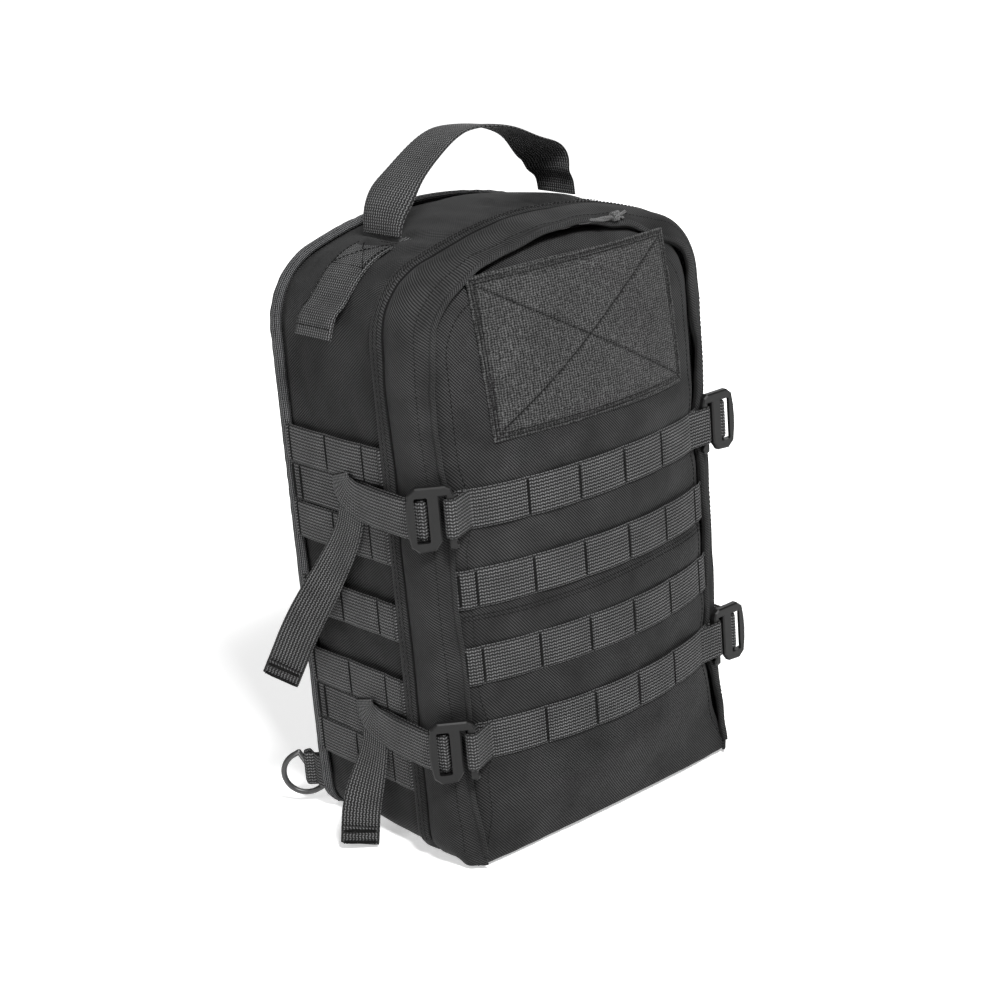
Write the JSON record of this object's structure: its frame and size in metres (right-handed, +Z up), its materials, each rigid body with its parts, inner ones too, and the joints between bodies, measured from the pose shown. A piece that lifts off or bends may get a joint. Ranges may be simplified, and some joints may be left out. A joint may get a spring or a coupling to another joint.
{
  "type": "trauma backpack",
  "caption": "Compact clamshell trauma backpack with webbing grid, patch field, storm-flapped zip, hook-fastened compression straps, carry handle and shoulder straps.",
  "frame": {"origin": "on the ground at the middle of the bag's base", "axes": "+X to the right seen from the front, +Y towards the wearer's back, +Z up"},
  "size_m": [0.297, 0.1962, 0.4474],
  "materials": {
    "shell_fabric": "matte twill",
    "webbing": "matte woven",
    "loop_pile": "looped pile",
    "moulded_plastic": "fine moulded texture",
    "ring_metal": "black, satin",
    "slider_metal": "black, satin",
    "zip_tape": "woven tape with nylon coil",
    "cord": "braided",
    "stiffener": "matte",
    "lining": "smooth",
    "elastic": "ribbed",
    "mesh": "open mesh",
    "pad_mesh": "spacer mesh"
  },
  "bodies": {
    "front_door": {"front_panel": "shell_fabric", "zip_tape_panel": "zip_tape", "loop_field": "loop_pile", "front_webbing_row_1": "webbing", "front_webbing_row_2": "webbing", "front_webbing_row_3": "webbing", "front_webbing_row_4": "webbing", "hook_loops": "webbing", "mesh_pockets": "mesh"},
    "handle": {"carry_handle": "webbing"},
    "ring_left": {"d_ring_left": "ring_metal"},
    "ring_right": {"d_ring_right": "ring_metal"},
    "slider_left": {"zip_slider_left": "slider_metal"},
    "slider_right": {"zip_slider_right": "slider_metal"},
    "cord_left": {"pull_cord_left": "cord"},
    "cord_right": {"pull_cord_right": "cord"},
    "strap_upper_left": {"hook_upper_left": "moulded_plastic", "strap_end_upper_left": "webbing"},
    "strap_upper_right": {"hook_upper_right": "moulded_plastic", "strap_end_upper_right": "webbing"},
    "strap_lower_left": {"hook_lower_left": "moulded_plastic", "strap_end_lower_left": "webbing"},
    "strap_lower_right": {"hook_lower_right": "moulded_plastic", "strap_end_lower_right": "webbing"},
    "harness_left": {"shoulder_strap_left": "shell_fabric", "strap_neck_left": "webbing", "ladder_lock_left": "moulded_plastic", "sternum_webbing_left": "webbing", "sternum_buckle_socket": "moulded_plastic"},
    "tail_left": {"lower_webbing_left": "webbing"},
    "harness_right": {"shoulder_strap_right": "shell_fabric", "strap_neck_right": "webbing", "ladder_lock_right": "moulded_plastic", "sternum_webbing_right": "webbing", "sternum_buckle_plug": "moulded_plastic"},
    "tail_right": {"lower_webbing_right": "webbing"},
    "pack": {"back_lining": "lining", "back_pads": "pad_mesh", "back_panel": "shell_fabric", "base_lip": "shell_fabric", "d_ring_tab_left": "webbing", "d_ring_tab_right": "webbing", "elastic_loops": "elastic", "frame_sheet": "stiffener", "handle_tabs": "webbing", "seam_binding": "webbing", "side_gusset": "shell_fabric", "side_webbing_left": "webbing", "side_webbing_right": "webbing", "slip_pocket": "lining", "storm_flap": "shell_fabric", "strap_anchors_low": "shell_fabric", "strap_anchors_top": "shell_fabric", "strap_base_lower_left": "webbing", "strap_base_lower_right": "webbing", "strap_base_upper_left": "webbing", "strap_base_upper_right": "webbing", "zip_tape_body": "zip_tape"}
  },
  "joints": [
    {"name": "front_door_open", "type": "hinge", "parent": "pack", "child": "front_door", "pos_m": [0, -0.08, 0.003], "axis": [1, 0, 0], "range_deg": [0, 84], "deforming": ["hook_loops", "zip_tape_panel"]},
    {"name": "hook_upper_left_swing", "type": "hinge", "parent": "pack", "child": "strap_upper_left", "pos_m": [-0.1312, -0.0192, 0.2351], "axis": [0, 0, -1], "range_deg": [0, 100]},
    {"name": "hook_upper_right_swing", "type": "hinge", "parent": "pack", "child": "strap_upper_right", "pos_m": [0.1312, -0.0192, 0.2351], "axis": [0, 0, 1], "range_deg": [0, 100]},
    {"name": "hook_lower_left_swing", "type": "hinge", "parent": "pack", "child": "strap_lower_left", "pos_m": [-0.1312, -0.0192, 0.0827], "axis": [0, 0, -1], "range_deg": [0, 100]},
    {"name": "hook_lower_right_swing", "type": "hinge", "parent": "pack", "child": "strap_lower_right", "pos_m": [0.1312, -0.0192, 0.0827], "axis": [0, 0, 1], "range_deg": [0, 100]},
    {"name": "handle_rock", "type": "hinge", "parent": "pack", "child": "handle", "pos_m": [0, 0.015, 0.3975], "axis": [1, 0, 0], "range_deg": [-60, 60], "deforming": ["carry_handle"]},
    {"name": "d_ring_left_swing", "type": "hinge", "parent": "pack", "child": "ring_left", "pos_m": [-0.1242, 0.0876, 0.024], "axis": [-0.338, 0.3258, 0.8829], "range_deg": [-50, 50]},
    {"name": "d_ring_right_swing", "type": "hinge", "parent": "pack", "child": "ring_right", "pos_m": [0.1242, 0.0876, 0.024], "axis": [0.338, 0.3258, 0.8829], "range_deg": [-50, 50]},
    {"name": "zip_slider_left_run", "type": "slide", "parent": "pack", "child": "slider_left", "axis": [-0.9958, 0, -0.0915], "range_m": [0, 0.024], "deforming": ["pull_cord_left"]},
    {"name": "zip_slider_right_run", "type": "slide", "parent": "pack", "child": "slider_right", "axis": [0.9986, 0, -0.0529], "range_m": [0, 0.024]},
    {"name": "pull_cord_left_swing", "type": "hinge", "parent": "slider_left", "child": "cord_left", "pos_m": [-0.014, -0.0573, 0.38845], "axis": [0, 0, 1], "range_deg": [0, 5]},
    {"name": "pull_cord_right_swing", "type": "hinge", "parent": "slider_right", "child": "cord_right", "pos_m": [0.003, -0.0573, 0.38878], "axis": [0, 0, -1], "range_deg": [0, 35]},
    {"name": "shoulder_strap_left_lift", "type": "hinge", "parent": "pack", "child": "harness_left", "pos_m": [-0.046, 0.084, 0.372], "axis": [1, 0, 0], "range_deg": [0, 20]},
    {"name": "shoulder_strap_right_lift", "type": "hinge", "parent": "pack", "child": "harness_right", "pos_m": [0.046, 0.084, 0.372], "axis": [1, 0, 0], "range_deg": [0, 20]},
    {"name": "lower_webbing_left_lift", "type": "hinge", "parent": "pack", "child": "tail_left", "pos_m": [-0.092, 0.084, 0.036], "axis": [-1, 0, 0], "range_deg": [0, 52]},
    {"name": "lower_webbing_right_lift", "type": "hinge", "parent": "pack", "child": "tail_right", "pos_m": [0.092, 0.084, 0.036], "axis": [-1, 0, 0], "range_deg": [0, 52]}
  ],
  "couplings": [
    {"joint": "lower_webbing_left_lift", "follows": "shoulder_strap_left_lift", "ratio": 2.6},
    {"joint": "lower_webbing_right_lift", "follows": "shoulder_strap_right_lift", "ratio": 2.6}
  ]
}
